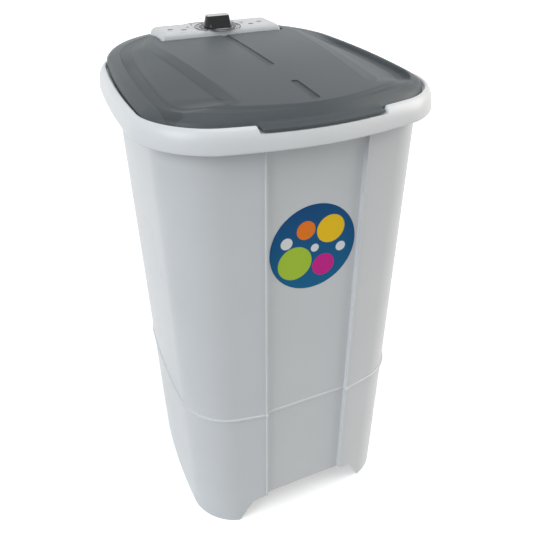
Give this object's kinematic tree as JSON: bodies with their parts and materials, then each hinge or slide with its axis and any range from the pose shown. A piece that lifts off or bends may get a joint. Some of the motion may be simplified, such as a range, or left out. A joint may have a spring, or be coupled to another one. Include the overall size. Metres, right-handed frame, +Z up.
{
  "type": "semi-automatic washing machine",
  "caption": "Free-standing single-tub washing machine with a smoked hinged lid, a timer knob and a belt-driven pulsator in a tapered white cabinet.",
  "frame": {"origin": "on the floor, below the middle of the rim", "axes": "+Z up, -Y towards the front with the lid's grip, +X to the right seen from the front"},
  "size_m": [0.4994, 0.554, 0.9175],
  "materials": {
    "white_shell": "gloss",
    "tub_white": "gloss",
    "smoked_lid": "gloss",
    "panel_white": "satin",
    "knob_black": "gloss",
    "knob_silver": "satin",
    "grey_plastic": "matte",
    "pulsator_blue": "satin",
    "steel": "brushed",
    "cast_aluminium": "satin",
    "bronze": "satin",
    "black_rubber": "matte"
  },
  "bodies": {
    "cabinet": {"cabinet_shell": "white_shell", "top_frame": "white_shell", "wash_tub": "tub_white", "foot_front_left": "black_rubber", "foot_front_right": "black_rubber", "foot_back_left": "black_rubber", "foot_back_right": "black_rubber", "control_panel": "panel_white", "dial_ring": "knob_black", "timer_case": "grey_plastic", "lid_hinge_bracket_left": "white_shell", "lid_hinge_bracket_right": "white_shell", "bearing_housing": "cast_aluminium", "upper_bush": "bronze", "lower_bush": "bronze", "shaft_seal": "black_rubber", "motor_stator": "steel", "motor_end_bell_upper": "cast_aluminium", "motor_end_bell_lower": "cast_aluminium", "motor_bracket": "steel", "motor_mount_1": "black_rubber", "motor_mount_2": "black_rubber", "motor_mount_3": "black_rubber", "motor_mount_4": "black_rubber", "motor_terminal_box": "knob_black", "capacitor": "cast_aluminium", "capacitor_clamp": "steel", "drive_belt": "black_rubber", "drain_strainer": "grey_plastic", "drain_spigot": "grey_plastic", "drain_hose_inner": "grey_plastic", "drain_outlet": "grey_plastic", "cord_gland": "black_rubber", "wiring_loom": "black_rubber"},
    "lid": {"lid": "smoked_lid", "lid_hinge_pin_left": "steel", "lid_hinge_pin_right": "steel"},
    "timer_knob": {"timer_knob": "knob_black", "knob_cap": "knob_silver", "timer_shaft": "steel"},
    "pulsator": {"pulsator": "pulsator_blue", "pulsator_screw": "steel", "pulsator_cap": "grey_plastic", "drive_shaft": "steel", "driven_pulley": "cast_aluminium", "pulley_nut": "steel"},
    "motor_rotor": {"motor_shaft": "steel", "motor_pulley": "cast_aluminium"}
  },
  "joints": [
    {"name": "lid_hinge", "type": "hinge", "parent": "cabinet", "child": "lid", "pos_m": [0, 0.2445, 0.866], "axis": [-1, 0, 0], "range_deg": [0, 95]},
    {"name": "timer_turn", "type": "hinge", "parent": "cabinet", "child": "timer_knob", "pos_m": [0, 0.16, 0.8966], "axis": [0, 0, -1], "range_deg": [0, 300]},
    {"name": "pulsator_spin", "type": "hinge", "parent": "cabinet", "child": "pulsator", "pos_m": [0, -0.045, 0.398], "axis": [0, 0, 1], "continuous": true},
    {"name": "motor_spin", "type": "hinge", "parent": "cabinet", "child": "motor_rotor", "pos_m": [0, 0.135, 0.218], "axis": [0, 0, 1], "continuous": true}
  ],
  "couplings": [
    {"joint": "motor_spin", "follows": "pulsator_spin", "ratio": 5.25}
  ]
}
